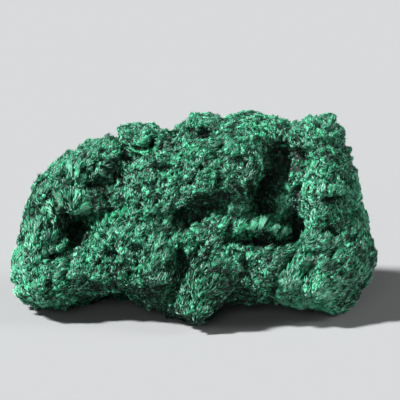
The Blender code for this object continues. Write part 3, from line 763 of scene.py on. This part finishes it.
def needle_piece(name, corners, shade):
    """One mesh of closed four-faced needles. Its map holds each needle's tone, which is over a half
    where it is grey, and its way to the tip. Its colour hangs on nothing else."""
    count = len(corners)
    mesh = bpy.data.meshes.new(name)
    faces = np.array(((0, 1, 3), (1, 2, 3), (2, 0, 3), (2, 1, 0)), np.int32)
    index = (np.arange(count, dtype=np.int32)[:, None, None] * 4 + faces).reshape(-1, 3)
    mesh.vertices.add(count * 4)
    mesh.vertices.foreach_set("co", corners.astype(np.float32).ravel())
    mesh.loops.add(index.size)
    mesh.loops.foreach_set("vertex_index", index.ravel())
    mesh.polygons.add(len(index))
    mesh.polygons.foreach_set("loop_start", np.arange(0, index.size, 3, dtype=np.int32))
    mesh.update(calc_edges=True)
    side = np.array(((-MAP_HALF_WIDTH, 0.0), (MAP_HALF_WIDTH, 0.0), (0.0, MAP_TIP)))
    under = np.array(((-MAP_HALF_WIDTH, 0.0), (MAP_HALF_WIDTH, 0.0), (0.0, MAP_ROOT)))
    pattern = np.stack([side, side, side, under])
    places = np.tile(pattern[None], (count, 1, 1, 1))
    places[..., 0] += shade[:, None, None]
    layer = mesh.uv_layers.new(name="OFBake")
    layer.data.foreach_set("uv", places.astype(np.float32).ravel())
    piece = bpy.data.objects.new(name, mesh)
    bpy.context.scene.collection.objects.link(piece)
    return piece


# Materials

MALACHITE_IOR = 1.75       # 1.65 to 1.91, by the direction through the crystal

# The threads between the needles run up to the right. Real ones lie 0.2 mm apart. These are drawn
# nearly three times as far apart, because finer ones wouldn't show.
THREAD_LIE = math.radians(58.0)
THREAD_PITCH = 0.55 * MM


def colour(code):
    """An sRGB hex value as linear red, green, blue and alpha."""
    values = [int(code[k:k + 2], 16) / 255.0 for k in (1, 3, 5)]
    linear = [v / 12.92 if v <= 0.04045 else ((v + 0.055) / 1.055) ** 2.4 for v in values]
    return (*linear, 1.0)


def add(tree, kind, settings=None, links=None):
    """One node, with its settings by name and its inputs by name: a socket to link or a value."""
    node = tree.nodes.new(kind)
    for name, value in (settings or {}).items():
        setattr(node, name, value)
    for name, value in (links or {}).items():
        if isinstance(value, bpy.types.NodeSocket):
            tree.links.new(value, node.inputs[name])
        else:
            node.inputs[name].default_value = value
    return node


def stops(node, *places):
    """Sets a ramp's stops: place and hex colour."""
    ramp = node.color_ramp
    while len(ramp.elements) > 2:
        ramp.elements.remove(ramp.elements[-1])
    while len(ramp.elements) < len(places):
        ramp.elements.new(0.5)
    for element, (place_on, code) in zip(ramp.elements, places):
        element.position = place_on
        element.color = colour(code)
    return node


def blank(name):
    """A new material and its empty node tree."""
    material = bpy.data.materials.new(name)
    material.use_nodes = True
    material.node_tree.nodes.clear()
    return material, material.node_tree


def silky_needles():
    """Fibrous malachite grown as free needles: green glassy threads, deep green to near black at the
    root, which is partly painted shade where they crowd together, and pale and silky at the tip.
    Some are dusty and greyer."""
    material, tree = blank("fibrous_malachite_needles")
    where = add(tree, "ShaderNodeUVMap", {"uv_map": "OFBake"})
    apart = add(tree, "ShaderNodeSeparateXYZ", None, {"Vector": where.outputs["UV"]})
    root = add(tree, "ShaderNodeValToRGB", None, {"Fac": apart.outputs["X"]})
    stops(root, (0.0, "#000301"), (0.25, "#001c0e"), (0.495, "#005232"),
          (0.505, "#010302"), (0.75, "#081f17"), (1.0, "#235242"))
    tip = add(tree, "ShaderNodeValToRGB", None, {"Fac": apart.outputs["X"]})
    stops(tip, (0.0, "#001d0f"), (0.25, "#029560"), (0.495, "#66fbbb"),
          (0.505, "#051912"), (0.75, "#458c74"), (1.0, "#c0f5e1"))
    mixed = add(tree, "ShaderNodeMix", {"data_type": "RGBA"}, {0: apart.outputs["Y"]})
    tree.links.new(root.outputs["Color"], mixed.inputs[6])
    tree.links.new(tip.outputs["Color"], mixed.inputs[7])
    surface = add(tree, "ShaderNodeBsdfPrincipled", None, {
        "Base Color": mixed.outputs[2], "Roughness": 0.40, "IOR": MALACHITE_IOR,
        "Specular IOR Level": 0.22,
    })
    add(tree, "ShaderNodeOutputMaterial", None, {"Surface": surface.outputs["BSDF"]})
    return material


def crowded_roots():
    """Fibrous malachite between the needles: the dark felt of their crowded roots, dull and
    finely ridged, with threads 0.1 mm thick that run up the lean of the stone. Its tone comes from
    open_to_light, which holds the stone's own tone and painted shade."""
    material, tree = blank("fibrous_malachite_roots")
    place_in = add(tree, "ShaderNodeTexCoord")
    run = Vector(math.cos(THREAD_LIE) * RIGHT + math.sin(THREAD_LIE) * UP_FACE)
    along = add(tree, "ShaderNodeMapping", {"vector_type": "TEXTURE"}, {
        "Vector": place_in.outputs["Object"], "Scale": (5.0, 1.0, 1.0),
        "Rotation": run.to_track_quat("X", "Z").to_euler(),
    })
    threads = add(tree, "ShaderNodeTexNoise", None, {
        "Vector": along.outputs["Vector"], "Scale": 1.0 / THREAD_PITCH, "Detail": 3.0,
        "Roughness": 0.65,
    })
    # the stone's tone, with painted shade in hollows, gaps, creases and pits, under overhangs and
    # where shut in
    depth = add(tree, "ShaderNodeAttribute", {"attribute_name": "open_to_light"})
    shade = add(tree, "ShaderNodeMath", {"operation": "MULTIPLY_ADD"}, {
        0: threads.outputs["Fac"], 1: 1.8, 2: depth.outputs["Fac"],
    })
    spread = add(tree, "ShaderNodeMapRange", None, {
        "Value": shade.outputs["Value"], "From Min": 0.75, "From Max": 2.0,
    })
    ramp = add(tree, "ShaderNodeValToRGB", None, {"Fac": spread.outputs["Result"]})
    stops(ramp, (0.0, "#010403"), (0.3, "#03201a"), (0.6, "#0c5a42"), (1.0, "#58cfa0"))
    bump = add(tree, "ShaderNodeBump", None, {
        "Height": threads.outputs["Fac"], "Strength": 0.9, "Distance": 0.3 * MM,
    })
    surface = add(tree, "ShaderNodeBsdfPrincipled", None, {
        "Base Color": ramp.outputs["Color"], "Roughness": 0.6, "IOR": MALACHITE_IOR,
        "Specular IOR Level": 0.25, "Normal": bump.outputs["Normal"],
    })
    add(tree, "ShaderNodeOutputMaterial", None, {"Surface": surface.outputs["BSDF"]})
    return material


def studio_card():
    """Matt painted board: pale, even and without a sheen."""
    material, tree = blank("pale_board")
    surface = add(tree, "ShaderNodeBsdfPrincipled", None, {
        "Base Color": colour("#98999a"), "Roughness": 0.9, "Specular IOR Level": 0.0,
    })
    add(tree, "ShaderNodeOutputMaterial", None, {"Surface": surface.outputs["BSDF"]})
    return material


# Stage

STAGE_MIDDLE = Vector((0.0, 0.0, 0.025))   # what the lights aim at, in metres
ROOM_LIGHT = 0.06


def floor():
    """A plain board, wide enough to hide its own edge."""
    size = 30.0
    mesh = bpy.data.meshes.new("floor")
    corners = [(-size, -size, 0.0), (size, -size, 0.0), (size, size, 0.0), (-size, size, 0.0)]
    mesh.from_pydata(corners, [], [(0, 1, 2, 3)])
    board = bpy.data.objects.new("floor", mesh)
    bpy.context.scene.collection.objects.link(board)
    mesh.materials.append(studio_card())


def soft_light(name, place_at, spread, strength):
    """A far, even light from one side. Spread is how wide it looks, in degrees."""
    lamp = bpy.data.lights.new(name, "SUN")
    lamp.angle = math.radians(spread)
    lamp.energy = strength
    holder = bpy.data.objects.new(name, lamp)
    bpy.context.scene.collection.objects.link(holder)
    holder.location = place_at
    aim = Vector(place_at) - STAGE_MIDDLE
    holder.rotation_euler = aim.to_track_quat("Z", "Y").to_euler()


def studio():
    """One strong light from the upper left, two weak ones, and a dim room that looks as pale as the
    floor."""
    soft_light("key", (-1.86, -0.75, 2.23), 8.0, 8.0)
    soft_light("fill", (2.6, -0.3, 1.5), 26.0, 1.25)
    soft_light("front fill", (-0.4, -2.6, 1.0), 24.0, 0.62)
    world = bpy.data.worlds.new("studio")
    world.use_nodes = True
    tree = world.node_tree
    tree.nodes.clear()
    dim = (ROOM_LIGHT, ROOM_LIGHT, ROOM_LIGHT, 1.0)
    room = add(tree, "ShaderNodeBackground", None, {"Color": dim})
    behind = add(tree, "ShaderNodeBackground", None, {"Color": colour("#dbdcdd")})
    seen = add(tree, "ShaderNodeLightPath")
    mixed = add(tree, "ShaderNodeMixShader", None, {"Fac": seen.outputs["Is Camera Ray"]})
    tree.links.new(room.outputs["Background"], mixed.inputs[1])
    tree.links.new(behind.outputs["Background"], mixed.inputs[2])
    add(tree, "ShaderNodeOutputWorld", None, {"Surface": mixed.outputs["Shader"]})
    bpy.context.scene.world = world
    bpy.context.scene.view_settings.view_transform = "Standard"


def camera():
    """Straight on to the leaning face, from far enough to keep it free of perspective."""
    steps = 400.0
    step = 0.2793 * MM           # how much of the face one of the view's 400 steps across shows
    distance = 0.8
    lens = bpy.data.cameras.new("camera")
    lens.sensor_width = 36.0
    lens.lens = lens.sensor_width * distance / (step * steps)
    lens.clip_start = 0.01
    holder = bpy.data.objects.new("camera", lens)
    bpy.context.scene.collection.objects.link(holder)
    aim = FACE_MIDDLE * MM + RIGHT * (5.0 * step) + UP_FACE * (15.0 * step)
    holder.location = aim + FORWARD * distance
    holder.rotation_euler = Vector(FORWARD).to_track_quat("Z", "Y").to_euler()
    bpy.context.scene.camera = holder


def grown_stone():
    """The skin, broken up into lumps, crags, pits and clumps, and all the needles on it."""
    # the broken stone
    body = skin_mesh()
    mesh = body.data
    points, normals = mesh_points(mesh), mesh_normals(mesh)
    facing_at = unit(averaged(mesh, normals, FACING_STEPS))
    crag_rise, crag_tone = crags(mesh, points, facing_at)
    rise = broken(points) + crag_rise + pitted(mesh, points, facing_at)
    small = small_forms(points, normals)
    rise += small - SKIN_DEPTH
    points = points + normals * (rise * MM)[:, None]
    place(mesh, points)

    # its clumps, each a low dome
    clump, facing = spots_on(mesh, CLUMP_GRID, CLUMP_SEED, facing_at)
    flow, order, length, tone, grey = lie_of(clump, facing)
    tall = CLUMP_RISE * (1.0 + 0.35 * order) * RNG.uniform(0.3, 1.4, len(clump))
    owner, edge_near = clump_of(points, clump, flow, order, CLUMP_GRID)
    domes = tall[owner] * (0.8 - edge_near ** 2)
    normals = mesh_normals(mesh)
    points = points + normals * (domes * MM)[:, None]
    place(mesh, points)

    # their tone, with painted shade: it falls where the stone is sunk, pinched or shut in, and under
    # the overhangs
    normals = mesh_normals(mesh)
    even = averaged(mesh, points, SUNK_STEPS)
    sunk = np.sum((even - points) * normals, axis=1) / MM
    near = averaged(mesh, points, PINCHED_STEPS)
    pinched = np.sum((near - points) * normals, axis=1) / MM
    shut_in = 1.0 - openness(mesh, clump, facing)
    under = smoothstep(0.05, -0.75, facing[:, 2])
    patches = 0.10 * sampled(clump, 9.0, 2, 51.0) / 0.4
    grey = grey + 0.30 * sampled(clump, 5.0, 3, 81.0) / 0.4
    each = CLUMP_TONE * (1.0 + 0.8 * order) * RNG.normal(0.0, 1.0, len(clump))
    shade = PLAIN_TONE + tone + patches + each
    shade = shade - SHUT_IN_SHADE * shut_in - OVERHUNG_SHADE * under
    # the skin's tone: painted shade in the gaps between clumps, where the stone is sunk or pinched,
    # and in the named pits
    open_to = shade[owner] + 0.05 * crag_tone - GAP_SHADE * edge_near - SUNK_SHADE * sunk - PINCHED_SHADE * pinched
    open_to += PIT_SHADE * np.clip(small, -2.5, 0.0)
    open_to = np.clip(open_to, 0.0, 1.0)

    # the needles
    tree = near_tree(points)
    # painted shade on the needles too: their tone falls in the named pits and, by the cavity, in the
    # hollows
    below = np.array([tree.find(c)[1] for c in clump.tolist()])
    pit = np.clip(-small[below], 0.0, 2.5)
    shade = shade - PIT_SHADE * pit
    cavity = np.clip(averaged(mesh, sunk[:, None], 4)[below, 0] * 1.3, -0.25, 1.0)
    growth = {
        "flow": flow, "order": order, "length": length, "cavity": cavity, "grey": grey,
        "shade": shade - 0.5 * cavity, "pit": pit,
    }
    stone = ray_tree(mesh)
    leaves, leaf_tones = sheaf_needles(stone)
    left = NEEDLE_COUNT - len(leaves)
    tufts, tuft_tones = tuft_needles(mesh, stone, facing_at, clump, growth, left)
    corners = np.concatenate((tufts, leaves))
    shade = np.concatenate((tuft_tones, leaf_tones))
    low, high = (np.array(corner) for corner in cad_box)
    held = np.clip(corners, low, high)
    order_across = np.argsort(corners[:, 3, 0], kind="stable")
    material = silky_needles()
    for name, part in zip(PIECES, np.array_split(order_across, len(PIECES))):
        piece = needle_piece(name, held[part], shade[part])
        piece.data.materials.append(material)
        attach(piece, "root")

    # the skin itself, thinned
    body.data = mesh = thinned(body)
    kept = mesh_points(mesh)
    layer = mesh.attributes.new("open_to_light", "FLOAT", "POINT")
    nearest = [tree.find(p)[1] for p in kept.tolist()]
    layer.data.foreach_set("value", open_to[nearest].astype(np.float32))
    place(mesh, np.clip(kept, low, high))
    mesh.materials.clear()
    mesh.materials.append(crowded_roots())
    mesh.polygons.foreach_set("use_smooth", np.ones(len(mesh.polygons), bool))
    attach(body, "root")
    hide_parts(STONE)


grown_stone()
floor()
studio()
camera()
